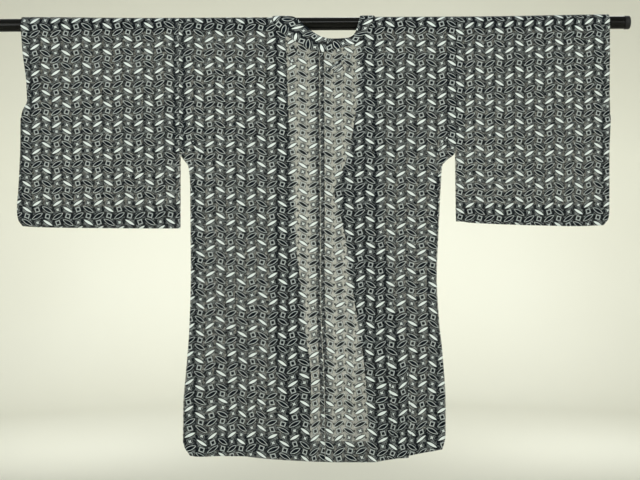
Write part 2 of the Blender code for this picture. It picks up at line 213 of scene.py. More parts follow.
# The collar's seam with the panels, and its free edge or fold, from the left front hem to the right one
COLLAR = tabled(
    "seam_x seam_run free_x free_run",
    (-0.086, -0.985, -0.025, -0.985),
    (-0.087, -0.900, -0.025, -0.900),
    (-0.098, -0.800, -0.023, -0.800),
    (-0.110, -0.705, -0.035, -0.705),
    (-0.112, -0.620, -0.042, -0.620),
    (-0.108, -0.520, -0.054, -0.520),
    (-0.098, -0.410, -0.060, -0.410),
    (-0.096, -0.305, -0.065, -0.305),
    (-0.099, -0.190, -0.071, -0.190),
    (-0.102, -0.095, -0.074, -0.095),
    (-0.104, -0.040, -0.076, -0.040),
    (-0.104, 0.000, -0.070, -0.002),
    (-0.098, 0.028, -0.057, 0.008),
    (-0.079, 0.048, -0.042, 0.021),
    (-0.054, 0.063, -0.023, 0.037),
    (-0.027, 0.079, -0.005, 0.050),
    (0.001, 0.088, 0.013, 0.057),
    (0.027, 0.084, 0.029, 0.0585),
    (0.052, 0.077, 0.047, 0.058),
    (0.079, 0.069, 0.066, 0.056),
    (0.099, 0.050, 0.078, 0.046),
    (0.113, 0.027, 0.085, 0.026),
    (0.122, 0.000, 0.090, 0.001),
    (0.126, -0.040, 0.090, -0.040),
    (0.126, -0.095, 0.089, -0.095),
    (0.127, -0.155, 0.088, -0.155),
    (0.130, -0.237, 0.077, -0.237),
    (0.134, -0.304, 0.064, -0.304),
    (0.133, -0.352, 0.047, -0.352),
    (0.130, -0.392, 0.031, -0.392),
    (0.134, -0.432, 0.041, -0.432),
    (0.141, -0.500, 0.056, -0.500),
    (0.150, -0.570, 0.065, -0.570),
    (0.160, -0.640, 0.075, -0.640),
    (0.175, -0.720, 0.088, -0.720),
    (0.186, -0.800, 0.098, -0.800),
    (0.192, -0.900, 0.104, -0.900),
    (0.194, -0.987, 0.110, -0.991),
)

LEFT_SLEEVE_EDGE = tabled(
    "drop x",
    (0.000, -0.657),
    (0.060, -0.653),
    (0.130, -0.647),
    (0.167, -0.647),
    (0.190, -0.658),
    (CUFF_DROP, -0.661),
    (0.266, -0.662),
    (0.354, -0.666),
    (0.414, -0.670),
    (0.433, -0.6675),
    (SLEEVE_DROP, -0.658),
)
RIGHT_SLEEVE_EDGE = tabled(
    "drop x",
    (0.000, 0.638),
    (0.085, 0.638),
    (0.173, 0.641),
    (CUFF_DROP, 0.642),
    (0.283, 0.639),
    (0.414, 0.638),
    (0.433, 0.636),
    (SLEEVE_DROP, 0.625),
)

SLEEVE_BOTTOM = tabled(
    "x drop",
    (-0.665, 0.444),
    (-0.620, 0.447),
    (-0.530, 0.449),
    (-0.310, 0.451),
    (0.300, 0.438),
    (0.340, 0.442),
    (0.480, 0.448),
    (0.570, 0.450),
    (0.632, 0.448),
)

# Soft folds: side is 1 on the back and -1 on the front, and height is more than 0 outwards
FOLD_COLUMNS = "side top_x top_drop foot_x foot_drop width height"
FOLDS = tabled(
    FOLD_COLUMNS,
    (1, 0.136, 0.560, 0.172, 1.050, 0.040, 0.0050),
    (1, 0.205, 0.640, 0.232, 1.050, 0.034, -0.0030),
    (1, 0.064, 0.078, -0.010, 0.160, 0.030, -0.0020),
    (1, -0.066, 0.074, -0.030, 0.150, 0.030, -0.0015),
    (1, -0.120, 0.520, -0.135, 1.050, 0.046, 0.0030),
    (1, -0.215, 0.600, -0.228, 1.050, 0.044, -0.0028),
    (1, 0.052, 0.560, 0.056, 1.050, 0.040, -0.0025),
    (1, -0.250, 0.100, -0.268, 0.420, 0.040, -0.0022),
    (1, 0.236, 0.110, 0.240, 0.430, 0.036, 0.0022),
    (-1, -0.164, 0.480, -0.176, 1.050, 0.042, 0.0035),
    (-1, -0.246, 0.560, -0.252, 1.050, 0.040, -0.0026),
    (-1, 0.218, 0.420, 0.226, 0.700, 0.036, -0.0026),
    (-1, 0.234, 0.660, 0.240, 1.050, 0.034, 0.0030),
    (-1, 0.204, 0.080, 0.190, 0.440, 0.044, 0.0024),
    (-1, -0.180, 0.080, -0.196, 0.440, 0.044, 0.0022),
    (1, -0.420, 0.060, -0.432, 0.400, 0.050, 0.0024),
    (1, -0.545, 0.080, -0.560, 0.380, 0.050, -0.0026),
    (-1, -0.470, 0.060, -0.478, 0.400, 0.052, -0.0024),
    (1, 0.395, 0.070, 0.402, 0.390, 0.048, -0.0024),
    (1, 0.520, 0.060, 0.532, 0.400, 0.052, 0.0026),
    (-1, 0.450, 0.060, 0.462, 0.400, 0.050, 0.0024),
)
FOLD_END = 0.09

# Narrow creases, as long, deep and uneven as in worn and folded gauze
CREASES = tabled(
    FOLD_COLUMNS,
    (1, 0.064, 0.066, 0.024, 0.098, 0.009, -0.0026),
    (1, 0.050, 0.080, 0.004, 0.118, 0.008, -0.0018),
    (1, 0.070, 0.078, 0.052, 0.135, 0.010, 0.0014),
    (1, -0.062, 0.046, -0.036, 0.080, 0.009, -0.0018),
    (1, -0.074, 0.060, -0.058, 0.110, 0.010, 0.0012),
    (1, 0.146, 0.660, 0.166, 0.960, 0.011, 0.0022),
    (1, 0.168, 0.700, 0.190, 0.940, 0.010, -0.0016),
    (1, -0.296, 0.225, -0.250, 0.300, 0.012, -0.0018),
    (1, 0.288, 0.230, 0.236, 0.322, 0.013, -0.0022),
    (1, 0.285, 0.255, 0.250, 0.380, 0.012, 0.0016),
    (1, -0.200, 0.640, -0.205, 0.900, 0.011, -0.0010),
    (-1, -0.290, 0.225, -0.240, 0.310, 0.012, -0.0018),
    (-1, 0.284, 0.230, 0.230, 0.320, 0.013, -0.0018),
    (-1, -0.150, 0.350, -0.168, 0.620, 0.012, 0.0014),
    (-1, 0.205, 0.500, 0.220, 0.840, 0.012, -0.0014),
    (1, -0.648, 0.205, -0.560, 0.262, 0.013, 0.0016),
    (1, 0.636, 0.200, 0.560, 0.250, 0.013, -0.0014),
    (-1, -0.648, 0.205, -0.575, 0.250, 0.013, -0.0014),
    (-1, 0.636, 0.200, 0.570, 0.262, 0.013, 0.0014),
    (1, -0.330, 0.060, -0.350, 0.210, 0.012, -0.0010),
    (1, 0.318, 0.080, 0.332, 0.230, 0.012, 0.0010),
)
CREASE_END = 0.02

# Small unevenness all over: length is that of one wave, and lean is how far its lines lean from upright
RIPPLES = tabled(
    "length lean start height",
    (0.083, 0.35, 0.4, 0.00042),
    (0.061, -0.55, 2.1, 0.00034),
    (0.047, 1.20, 4.0, 0.00022),
    (0.125, -0.15, 1.3, 0.00060),
    (0.034, -1.50, 5.2, 0.00014),
)

# Small flattened pleats in worn gauze: two more layers lie upon the cloth along each, made far denser than
# plain gauze, so they also paint the creases' shade as dark lines
PLEATS = tabled(
    "side top_x top_drop foot_x foot_drop width",
    (1, 0.065, 0.068, 0.011, 0.112, 0.0058),
    (1, 0.054, 0.090, 0.022, 0.120, 0.0034),
    (1, 0.068, 0.092, 0.050, 0.128, 0.0026),
    (1, -0.060, 0.048, -0.038, 0.080, 0.0048),
    (1, -0.074, 0.058, -0.060, 0.098, 0.0026),
    (1, 0.146, 0.700, 0.158, 0.925, 0.0040),
    (1, 0.190, 0.770, 0.199, 0.920, 0.0030),
    (1, 0.284, 0.246, 0.252, 0.300, 0.0034),
    (1, -0.292, 0.246, -0.262, 0.292, 0.0034),
    (-1, -0.284, 0.246, -0.250, 0.300, 0.0034),
    (-1, 0.280, 0.250, 0.244, 0.310, 0.0034),
    (-1, -0.168, 0.620, -0.176, 0.880, 0.0036),
    (-1, 0.222, 0.640, 0.230, 0.860, 0.0034),
)
# painted shade: each face of a pleat's layers counts as three plies of gauze, much more than a real pleat, to
# darken the crease like the shade in its fold
PLEAT_SHADE_PLY = 3.0
PLEAT_PROUD = (0.0006, 0.0011)
PLEAT_ASIDE = (0.0035, 0.0021)

# Puckers along the armhole seams
PUCKER_END = 0.25
PUCKER_PITCH = 0.019
PUCKER_REACH = 0.012
PUCKER_HEIGHT = 0.0005

# Where each cloth's repeat starts, how its rows lean, and how wide its repeat hangs against the cut.
# Lower down the cloth goes slack and its rows wander, and the fronts hang a little aside and askew.
Grain = namedtuple("Grain", "x drop lean width")
BODY_LEFT_GRAIN = Grain(-0.1633, 0.2458, 0.0245, 1.0)
BODY_RIGHT_GRAIN = Grain(0.2573, 0.2548, 0.0050, 1.0)
SLEEVE_LEFT_GRAIN = Grain(-0.4555, 0.2558, -0.0173, 0.997)
SLEEVE_RIGHT_GRAIN = Grain(0.4938, 0.2680, -0.0243, 0.960)
SLACK_FROM = 0.62
SLACK = 0.035
WANDER = 0.0030
WANDER_FROM = 0.30
FRONT_ASIDE = 0.0085
FRONT_ASKEW = 0.034


def read(table, place, column):
    """A column's values at places, on a smooth curve through the table's rows that never overshoots."""
    keys = np.array([row[0] for row in table])
    values = np.array([getattr(row, column) for row in table])
    slopes = np.diff(values) / np.diff(keys)
    tangents = np.concatenate([slopes[:1], np.zeros(len(keys) - 2), slopes[-1:]])
    same_way = slopes[:-1] * slopes[1:] > 0
    sums = np.where(same_way, slopes[:-1] + slopes[1:], 1.0)
    tangents[1:-1] = np.where(same_way, 2 * slopes[:-1] * slopes[1:] / sums, 0.0)
    place = np.clip(place, keys[0], keys[-1])
    k = np.clip(np.searchsorted(keys, place, side="right") - 1, 0, len(keys) - 2)
    span = keys[k + 1] - keys[k]
    t = (place - keys[k]) / span
    level = values[k] * (1 + 2 * t) * (1 - t) ** 2 + values[k + 1] * t * t * (3 - 2 * t)
    return level + span * (tangents[k] * t * (1 - t) ** 2 + tangents[k + 1] * t * t * (t - 1))


def ease(value):
    """0 up to 0, 1 from 1 on, and a smooth step between."""
    t = np.clip(value, 0.0, 1.0)
    return t * t * (3 - 2 * t)


def blend(start, end, share):
    return start + (end - start) * share


def folds_height(folds, end_length, x, drop, side):
    """How far a table's folds push the cloth outwards at places of the back and the front."""
    height = np.zeros(np.broadcast(x, drop).shape)
    for fold in folds:
        across, down = fold.foot_x - fold.top_x, fold.foot_drop - fold.top_drop
        length = math.hypot(across, down)
        across, down = across / length, down / length
        reach = (x - fold.top_x) * across + (drop - fold.top_drop) * down
        aside = np.abs((x - fold.top_x) * down - (drop - fold.top_drop) * across) / fold.width
        ends = ease(reach / end_length) * ease((length - reach) / end_length)
        ridge = fold.height * ends * (0.5 + 0.5 * np.cos(np.pi * np.minimum(aside, 1.0)))
        height += np.where(side == fold.side, ridge, 0.0)
    return height


def fine_height(x, drop, side):
    """The small unevenness of the hung gauze: creases, ripples and puckers along the armhole seams."""
    height = folds_height(CREASES, CREASE_END, x, drop, side)
    for ripple in RIPPLES:
        turn = 2 * math.pi / ripple.length
        wave = np.sin(turn * (x + ripple.lean * drop * 0.6) + ripple.start + side)
        height += ripple.height * wave * (0.6 + 0.4 * np.sin(9 * drop + 7 * x + ripple.start))
    for armhole in (LEFT_ARMHOLE, RIGHT_ARMHOLE):
        near = np.exp(-np.abs(x - armhole) / PUCKER_REACH) * (drop < PUCKER_END)
        height += PUCKER_HEIGHT * near * np.sin(2 * math.pi * drop / PUCKER_PITCH + 3 * np.sin(31 * drop))
    return height * ease(drop / 0.03)


def sheet_depth(x, drop, side):
    """How far the body's cloth hangs from the rod's axis, towards its own side."""
    smooth = read(DEPTHS, drop, "depth") + folds_height(FOLDS, FOLD_END, x, drop, side)
    return smooth + fine_height(x, drop, side)


def drape(x, run, proud=0.0):
    """Places of the body's flat cut, hung on the rod, and moved outwards by proud."""
    x, run = np.broadcast_arrays(np.asarray(x, float), np.asarray(run, float))
    side = np.where(run > 0, 1.0, -1.0)
    drop = np.maximum(np.abs(run) - QUARTER_TURN, 0.0)
    angle = np.clip(run, -QUARTER_TURN, QUARTER_TURN) / OVER_ROD
    on_rod = drop <= 0
    depth = sheet_depth(x, drop, side) + proud
    y = np.where(on_rod, -(OVER_ROD + proud) * np.sin(angle), -side * depth)
    z = np.where(on_rod, (OVER_ROD + proud) * np.cos(angle), -drop)
    return np.stack([x, y, z], axis=-1)


def cut_place(x, run, grain):
    """Where places of a hung cloth lie in the woven repeat, in metres across and down."""
    side = np.where(run > 0, 1.0, -1.0)
    drop = np.abs(run) - QUARTER_TURN
    slack = SLACK * np.maximum(drop - SLACK_FROM, 0.0)
    askew = FRONT_ASIDE * ease(drop / 0.12) + FRONT_ASKEW * np.maximum(drop - 0.1, 0.0)
    across = (x - grain.x) / grain.width + np.where(side < 0, askew, 0.0)
    down = side * (drop + 2 * QUARTER_TURN * (side < 0) - slack) - grain.drop - grain.lean * (x - grain.x)
    astray = WANDER * ease((drop - WANDER_FROM) / 0.6)
    across = across + astray * np.sin(13 * drop + 34 * x + 0.8 * side)
    across = across + 0.3 * astray * np.sin(61 * drop - 47 * x)
    down = down + astray * np.sin(29 * x - 9 * drop + 1.7) + 0.3 * astray * np.sin(83 * x + 21 * drop)
    return np.stack(np.broadcast_arrays(across, down), axis=-1)


def to_hem(x, drop):
    """How much longer or shorter the cloth is at x than at the hem's mean, for rows that follow the hem."""
    return 1 + (read(HEM, x, "drop") / HEM_DROP - 1) * (drop / HEM_DROP) ** 2


def spread(start, end, step):
    """Evenly spaced values from start to end, about a step apart."""
    return np.linspace(start, end, max(2, int(round(abs(end - start) / step)) + 1))


def placed(name, data):
    """A new object of a mesh, curve, light or camera, in the scene."""
    made = bpy.data.objects.new(name, data)
    bpy.context.scene.collection.objects.link(made)
    return made


def sewn_cloth(name, grids, wall, ply, finish):
    """One cloth piece from grids of points, places in the repeat and whether the grid closes on itself.

    A grid may have its own ply too. Points that meet are welded, the normals are set, and a thin wall is
    given to both sides.
    """
    points, places, faces, plies = [], [], [], []
    start = 0
    for grid_points, grid_places, closed, *own_ply in grids:
        rows, columns = grid_points.shape[:2]
        plies.append(np.full(rows * columns, own_ply[0] if own_ply else ply, np.float32))
        number = start + np.arange(rows * columns).reshape(rows, columns)
        if closed:
            number = np.concatenate([number, number[:1]], axis=0)
            joined = np.concatenate([grid_places, grid_places[-1:]], axis=0)
            joined[-1] = grid_places[0]
        else:
            joined = grid_places
        corner = [number[:-1, :-1], number[:-1, 1:], number[1:, 1:], number[1:, :-1]]
        corner_place = [joined[:-1, :-1], joined[:-1, 1:], joined[1:, 1:], joined[1:, :-1]]
        faces.append(np.stack(corner, axis=-1).reshape(-1, 4))
        places.append(np.stack(corner_place, axis=2).reshape(-1, 2))
        points.append(grid_points.reshape(-1, 3))
        start += rows * columns
    faces = np.concatenate(faces)
    mesh = bpy.data.meshes.new(name)
    mesh.vertices.add(start)
    mesh.vertices.foreach_set("co", np.concatenate(points).ravel())
    mesh.loops.add(faces.size)
    mesh.loops.foreach_set("vertex_index", faces.ravel())
    mesh.polygons.add(len(faces))
    mesh.polygons.foreach_set("loop_start", np.arange(0, faces.size, 4))
    mesh.update(calc_edges=True)
    cut = mesh.uv_layers.new(name="cut")
    cut.data.foreach_set("uv", np.concatenate(places).ravel())
    layers = mesh.attributes.new("ply", "FLOAT", "POINT")
    layers.data.foreach_set("value", np.concatenate(plies))
    sewing = bmesh.new()
    sewing.from_mesh(mesh)
    bmesh.ops.remove_doubles(sewing, verts=sewing.verts, dist=WELD)
    bmesh.ops.recalc_face_normals(sewing, faces=sewing.faces)
    sewing.to_mesh(mesh)
    sewing.free()
    mesh.materials.append(finish)
    mesh.shade_smooth()
    piece = placed(name, mesh)
    wall_maker = piece.modifiers.new("wall", "SOLIDIFY")
    wall_maker.thickness = wall
    wall_maker.offset = 0.0
    return piece


def inner_edge(run, left):
    """The x of a body panel's edge at the centre seam, at the neck or under the collar."""
    gap = -SEAM_GAP / 2 if left else SEAM_GAP / 2
    centre = read(CENTRE_SEAM, run - QUARTER_TURN, "x") + gap
    neckline = LEFT_NECKLINE if left else RIGHT_NECKLINE
    neck = read(neckline, run, "x")
    neck = np.minimum(neck, gap) if left else np.maximum(neck, gap)
    rows = [row for row in COLLAR if row.seam_run < 0 and (row.seam_x < 0) == left]
    rows = sorted(rows, key=lambda row: row.seam_run)
    overlap = COLLAR_OVERLAP if left else -COLLAR_OVERLAP
    front_rows = tabled("run x", *[(row.seam_run, row.seam_x + overlap) for row in rows], neckline[0])
    front = read(front_rows, run, "x")
    return np.where(run > neckline[-1].run, centre, np.where(run > 0, neck, front))


def side_edge(run, left):
    """The x of a body panel's outer edge, at the armhole or the side seam."""
    drop = np.maximum(np.abs(run) - QUARTER_TURN, 0.0)
    return read(LEFT_SIDE if left else RIGHT_SIDE, drop, "x")


def hung_run(x, run):
    """The run of rows that end at the hem's line, from rows that end at its mean."""
    drop = np.abs(run) - QUARTER_TURN
    side = np.where(run > 0, 1.0, -1.0)
    return np.where(drop > 0, side * (QUARTER_TURN + drop * to_hem(x, drop)), run)


def turned_in(run):
    """How far an allowance lies inside its cloth: less over the rod, where it is pressed flat."""
    return -blend(TURNED_IN_OVER_ROD, TURNED_IN, ease((np.abs(run) - QUARTER_TURN) / PRESSED_OVER))


def panel_grid(inner, outer, runs, columns, grain, proud=0.0, fold_x=None, fold_run=None):
    """A stretch of a body panel, or of an allowance turned in at fold_x or fold_run, as one grid."""
    share = np.linspace(0, 1, columns)[None, :]
    x = blend(inner[:, None], outer[:, None], share)
    run = hung_run(x, np.broadcast_to(runs[:, None], x.shape))
    place_x = x if fold_x is None else 2 * fold_x[:, None] - x
    place_run = run if fold_run is None else 2 * hung_run(x, np.full(x.shape, fold_run)) - run
    return drape(x, run, proud), cut_place(place_x, place_run, grain), False


def body_panel(name, left, grain, finish):
    """One length of gauze from the back hem over the rod to the front hem, with its allowances turned in."""
    hem = QUARTER_TURN + HEM_DROP
    over = spread(-QUARTER_TURN, QUARTER_TURN, OVER_ROD_STEP)
    front, back = spread(-hem, -QUARTER_TURN, FINE), spread(QUARTER_TURN, hem, FINE)
    runs = np.concatenate([front[:-1], over, back[1:]])
    inner, outer = inner_edge(runs, left), side_edge(runs, left)
    columns = int(abs(LEFT_ARMHOLE) / FINE)
    inwards = 1 if left else -1
    grids = [panel_grid(inner, outer, runs, columns, grain)]
    # the centre back seam's allowance
    centre = runs[runs > LEFT_NECKLINE[-1].run + 0.012]
    seam = inner_edge(centre, left)
    grids.append(panel_grid(seam - inwards * CENTRE_TURN, seam, centre, 4, grain, -TURNED_IN, fold_x=seam))
    # the armhole's allowance, over the rod
    at_armhole = runs[np.abs(runs) < QUARTER_TURN + ARMHOLE_DROP]
    armhole = side_edge(at_armhole, left)
    inside = turned_in(at_armhole)[:, None]
    turned_edge = armhole + inwards * ARMHOLE_TURN
    grids.append(panel_grid(armhole, turned_edge, at_armhole, 5, grain, inside, fold_x=armhole))
    # the hems, back and front
    for end in (hem, -hem):
        turned = spread(end - math.copysign(HEM_TURN, end), end - math.copysign(0.0004, end), FINE)
        start = inner_edge(turned, left) - inwards * 0.001
        stop = side_edge(turned, left) + inwards * 0.001
        grids.append(panel_grid(start, stop, turned, columns, grain, -2 * TURNED_IN, fold_run=end))
    # the pleats: two real layers each, made extra dense so that they also paint the shade in the creases
    for pleat in PLEATS:
        if (pleat.top_x < 0) != left:
            continue
        across, down = pleat.foot_x - pleat.top_x, pleat.foot_drop - pleat.top_drop
        length = math.hypot(across, down)
        share = spread(0, length, FINE)[:, None] / length
        taper = np.sqrt(np.clip(4 * share * (1 - share), 0.05, 1.0))
        aside = np.array([-0.5, 0.0, 0.5])[None, :] * pleat.width * taper
        x = pleat.top_x + across * share + down / length * aside
        drop = pleat.top_drop + down * share - across / length * aside
        run = pleat.side * (QUARTER_TURN + drop)
        for layer, proud in enumerate(PLEAT_PROUD, 1):
            places = cut_place(x, run, grain) + layer * np.array([PLEAT_ASIDE])
            grids.append((drape(x, run, proud), places, False, PLEAT_SHADE_PLY))
    return sewn_cloth(name, grids, SHELL, 0.5, finish)


def sleeve_surface(x, run, edge, proud=0.0):
    """Places of a sleeve's flat cut, hung on the rod: it closes at the bottom and below the cuff opening."""
    side = np.where(run > 0, 1.0, -1.0)
    drop = np.maximum(np.abs(run) - QUARTER_TURN, 0.0)
    from_edge = np.minimum(np.abs(edge - x) / EDGE_TAPER, 1.0)
    closed = ease((drop - 0.3 * CUFF_DROP) / (0.7 * CUFF_DROP))
    at_edge = 1 - closed * (1 - from_edge) ** 2
    at_bottom = np.clip((drop - SLEEVE_DROP + BOTTOM_TAPER) / BOTTOM_TAPER, 0.0, 1.0)
    loft = CUFF_LOFT * ease(1 - np.abs(edge - x) / CUFF_LOFT_REACH)
    smooth = read(DEPTHS, drop, "depth") + folds_height(FOLDS, FOLD_END, x, drop, side)
    full = smooth + fine_height(x, drop, side) + loft * (1 - closed) + proud
    depth = PRESSED_FOLD + (full - PRESSED_FOLD) * at_edge * (1 - at_bottom ** 2)
    angle = np.clip(run, -QUARTER_TURN, QUARTER_TURN) / OVER_ROD
    radius = OVER_ROD + loft + proud
    on_rod = drop <= 0
    stretch = 1 + (read(SLEEVE_BOTTOM, x, "drop") / SLEEVE_DROP - 1) * (drop / SLEEVE_DROP) ** 2
    y = np.where(on_rod, -radius * np.sin(angle), -side * depth)
    z = np.where(on_rod, radius * np.cos(angle), -drop * stretch)
    return np.stack(np.broadcast_arrays(x, y, z), axis=-1)


def sleeve(name, left, grain, finish):
    """A tube of gauze round the rod, with its cuff hem and its seams' allowances turned in."""
    edge_table = LEFT_SLEEVE_EDGE if left else RIGHT_SLEEVE_EDGE
    armhole = LEFT_ARMHOLE - SEAM_GAP if left else RIGHT_ARMHOLE + SEAM_GAP
    outwards = -1 if left else 1
    last_drop = SLEEVE_DROP - PRESSED_FOLD
    over = spread(0, QUARTER_TURN, OVER_ROD_STEP)[:-1]
    upper = QUARTER_TURN + spread(0, CUFF_DROP, FINE)[:-1]
    lower = QUARTER_TURN + spread(CUFF_DROP, last_drop, FINE)
    half = np.concatenate([over, upper, lower])
    first_closed = len(over) + len(upper)
    columns = int(SLEEVE_WIDTH / FINE)

    def surface(runs, from_share, to_share, count, proud=0.0, fold_share=None):
        drop = np.maximum(np.abs(runs) - QUARTER_TURN, 0.0)[:, None]
        edge = read(edge_table, drop, "x")
        x = blend(armhole, edge, np.linspace(from_share, to_share, count)[None, :])
        run = np.broadcast_to(runs[:, None], x.shape)
        place_x = x if fold_share is None else 2 * blend(armhole, edge, fold_share) - x
        return sleeve_surface(x, run, edge, proud), cut_place(place_x, run, grain), False

    back = surface(half, 0, 1, columns)
    front = surface(-half, 0, 1, columns)
    # the fold along the bottom joins the two sheets, and the seam below the cuff closes them
    bottom, bottom_place = back[0][-1], back[1][-1]
    bottom_points = np.stack([bottom, bottom, front[0][-1]])
    bottom_points[1, :, 1] = 0.0
    bottom_points[1, :, 2] -= PRESSED_FOLD
    bottom_places = np.stack([bottom_place + (0, step * PRESSED_FOLD) for step in range(3)])
    edge, edge_place = back[0][first_closed:, -1], back[1][first_closed:, -1]
    edge_points = np.stack([edge, edge, front[0][first_closed:, -1]], axis=1)
    edge_points[:, 1, 1] = 0.0
    edge_points[:, 1, 0] += outwards * PRESSED_FOLD
    tip, outer = bottom_points[1, -1], edge_points[-1, 1]
    corner = np.array([[bottom_points[0, -1], outer], [tip, tip]])
    other_corner = np.array([[outer, bottom_points[2, -1]], [tip, tip]])
    corner_places = np.array([[bottom_places[0, -1]] * 2] * 2)
    grids = [
        back,
        front,
        (bottom_points, bottom_places, False),
        (edge_points, np.stack([edge_place] * 3, axis=1), False),
        (corner, corner_places, False),
        (other_corner, corner_places, False),
    ]
    cuff_from, seam_to = 1 - CUFF_TURN / SLEEVE_WIDTH, SLEEVE_SEAM_TURN / SLEEVE_WIDTH
    for sign in (1, -1):
        cuff = sign * half[:first_closed]
        grids.append(surface(cuff, cuff_from, 0.999, 6, turned_in(cuff)[:, None], 1.0))
        seam = sign * half[half < QUARTER_TURN + ARMHOLE_DROP]
        grids.append(surface(seam, 0.001, seam_to, 5, turned_in(seam)[:, None], 0.0))
    # the bottom seam's and the outer seam's allowances stand inside, between the two sheets
    for sign in (1, -1):
        standing = QUARTER_TURN + spread(SLEEVE_DROP - SLEEVE_BOTTOM_TURN, last_drop, FINE)
        points, places, _ = surface(standing, 0.004, 0.992, columns)
        points[..., 1] = sign * SLEEVE_BOTTOM_ASIDE
        places = places * (1, -1) + (0, 2 * (SLEEVE_DROP - grain.drop))
        grids.append((points, places, False))
        beside = half[first_closed:]
        points, places, _ = surface(beside, 1 - SLEEVE_EDGE_TURN / SLEEVE_WIDTH, 0.996, 5, 0.0, 1.0)
        points[..., 1] = sign * SLEEVE_EDGE_ASIDE
        grids.append((points, places, False))
    return sewn_cloth(name, grids, SHELL, 0.5, finish)


def through(before, start, end, after, share):
    """Points on a smooth curve between start and end that also follows the rows before and after."""
    return 0.5 * (
        2 * start
        + (end - before) * share
        + (2 * before - 5 * start + 4 * end - after) * share ** 2
        + (3 * start - before - 3 * end + after) * share ** 3
    )


def collar_sections(stride):
    """The collar's cross lines in the flat cut, as rows of seam x, seam run, free x and free run."""
    table = np.array(COLLAR, float)
    sections = []
    for k in range(len(table) - 1):
        rows = [table[max(k - 1, 0)], table[k], table[k + 1], table[min(k + 2, len(table) - 1)]]
        length = max(math.dist(rows[1][:2], rows[2][:2]), math.dist(rows[1][2:], rows[2][2:]))
        steps = max(1, round(length / stride))
        share = np.arange(steps)[:, None] / steps
        sections.append(through(*rows, share))
    return np.concatenate(sections + [table[-1:]])


def collar(name, finish):
    """The neck band, folded in four, upon the panels: a closed flat tube with soft round edges."""
    sections = collar_sections(COLLAR_STEP)
    middle = (sections[:, :2] + sections[:, 2:]) / 2
    length = np.concatenate([[0], np.cumsum(np.linalg.norm(np.diff(middle, axis=0), axis=1))])
    width = np.linalg.norm(sections[:, :2] - sections[:, 2:], axis=1)
    steps = 10
    half = COLLAR_WALL / 2
    across = np.linspace(0.02, 0.98, steps)
    around = np.concatenate([across, across[::-1]])
    lift = np.concatenate([np.full(steps, half), np.full(steps, -half)])
    lift = lift * np.tile([0.55, *[1.0] * (steps - 2), 0.55], 2)
    around = np.concatenate([[0.0], around[:steps], [1.0], around[steps:]])
    lift = np.concatenate([[0.0], lift[:steps], [0.0], lift[steps:]])
    x = blend(sections[:, 0:1], sections[:, 2:3], around[None, :])
    run = blend(sections[:, 1:2], sections[:, 3:4], around[None, :])
    points = drape(x, run, ON_PANEL + lift[None, :])
    across = around[None, :] * width[:, None] + 0.004
    places = np.stack(np.broadcast_arrays(across, length[:, None]), axis=-1)
    points, places = points.transpose(1, 0, 2), places.transpose(1, 0, 2)
    band = (points, places, True)
    ends = []
    for end in (0, -1):
        rim = points[:, end]
        lower = np.concatenate([rim[:1], rim[:-steps - 1:-1]])[: steps + 1]
        upper = rim[: steps + 1]
        ends.append((np.stack([upper, lower]), np.stack([places[: steps + 1, end]] * 2), False))
        tip = np.stack([np.stack([upper[-1], lower[-1]]), np.stack([rim[steps + 1]] * 2)])
        ends.append((tip, np.stack([places[steps : steps + 2, end]] * 2), False))
    return sewn_cloth(name, [band, *ends], SHELL, 1.0, finish)


def gusset(name, left, grain, finish):
    """A side strip between the back and the front, folded inwards."""
    outwards = -1 if left else 1
    drop = spread(GUSSET_TOP, HEM_DROP, FINE)[:, None]
    side_x = read(LEFT_SIDE if left else RIGHT_SIDE, drop, "x")
    edge = side_x - outwards * GUSSET_INSET
    hung = drop * to_hem(edge, drop)
    share = (drop - GUSSET_TOP) / (HEM_DROP - GUSSET_TOP)
    fold = blend(GUSSET_TOP_DEPTH, GUSSET_HEM_DEPTH, share)
    inside = WALL + SEAM_GAP
    back = sheet_depth(edge, hung, np.ones_like(hung)) - inside
    front = sheet_depth(edge, hung, -np.ones_like(hung)) - inside
    turn = np.linspace(0, math.pi, 15)[None, :]
    x = edge - outwards * fold * np.sin(turn)
    y = -np.where(turn < math.pi / 2, back, front) * np.cos(turn)
    z = np.broadcast_to(-hung, x.shape)
    along = np.cumsum(np.hypot(np.diff(x, axis=1), np.diff(y, axis=1)), axis=1)
    across = np.concatenate([np.zeros_like(along[:, :1]), along], axis=1)
    places = np.stack(np.broadcast_arrays(across, hung - grain.drop), axis=-1)
    return sewn_cloth(name, [(np.stack([x, y, z], axis=-1), places, False)], SHELL, 0.5, finish)


def a_sum(operation, other_first=False):
    """A method for one of Python's own sums, which makes a Math node."""

    def method(shade, *others):
        return shade.sum(operation, *((*others, shade) if other_first else (shade, *others)))

    return method


class Shade:
    """A socket in a material that is being mixed, on which Python's own sums make Math nodes."""

    __add__, __radd__ = a_sum("ADD"), a_sum("ADD", True)
    __sub__, __rsub__ = a_sum("SUBTRACT"), a_sum("SUBTRACT", True)
    __mul__, __rmul__ = a_sum("MULTIPLY"), a_sum("MULTIPLY", True)
    __truediv__, __pow__, __mod__ = a_sum("DIVIDE"), a_sum("POWER"), a_sum("FLOORED_MODULO")
    __abs__, floor, sine, root = a_sum("ABSOLUTE"), a_sum("FLOOR"), a_sum("SINE"), a_sum("SQRT")
    most, least = a_sum("MAXIMUM"), a_sum("MINIMUM")

    def __init__(self, recipe, socket):
        self.recipe = recipe
        self.socket = socket

    def sum(self, operation, *values, clamp=False):
        settings = {"operation": operation, "use_clamp": clamp}
        return self.recipe.node("ShaderNodeMath", settings, dict(enumerate(values)))

    def is_near(self, other):
        return self.sum("COMPARE", self, other, 0.5)

    def below(self, edge, softness):
        """1 where the value is under edge, 0 where it is over it, and a soft step between."""
        return self.sum("MULTIPLY_ADD", self, -1 / softness, edge / softness + 0.5, clamp=True)

    def between(self, low, high, softness):
        return self.below(high, softness) - self.below(low, softness)

    def toward(self, other, share):
        """This value where share is 0 and the other where it is 1."""
        return self.recipe.node("ShaderNodeMix", {"data_type": "FLOAT"}, {0: share, 2: self, 3: other})


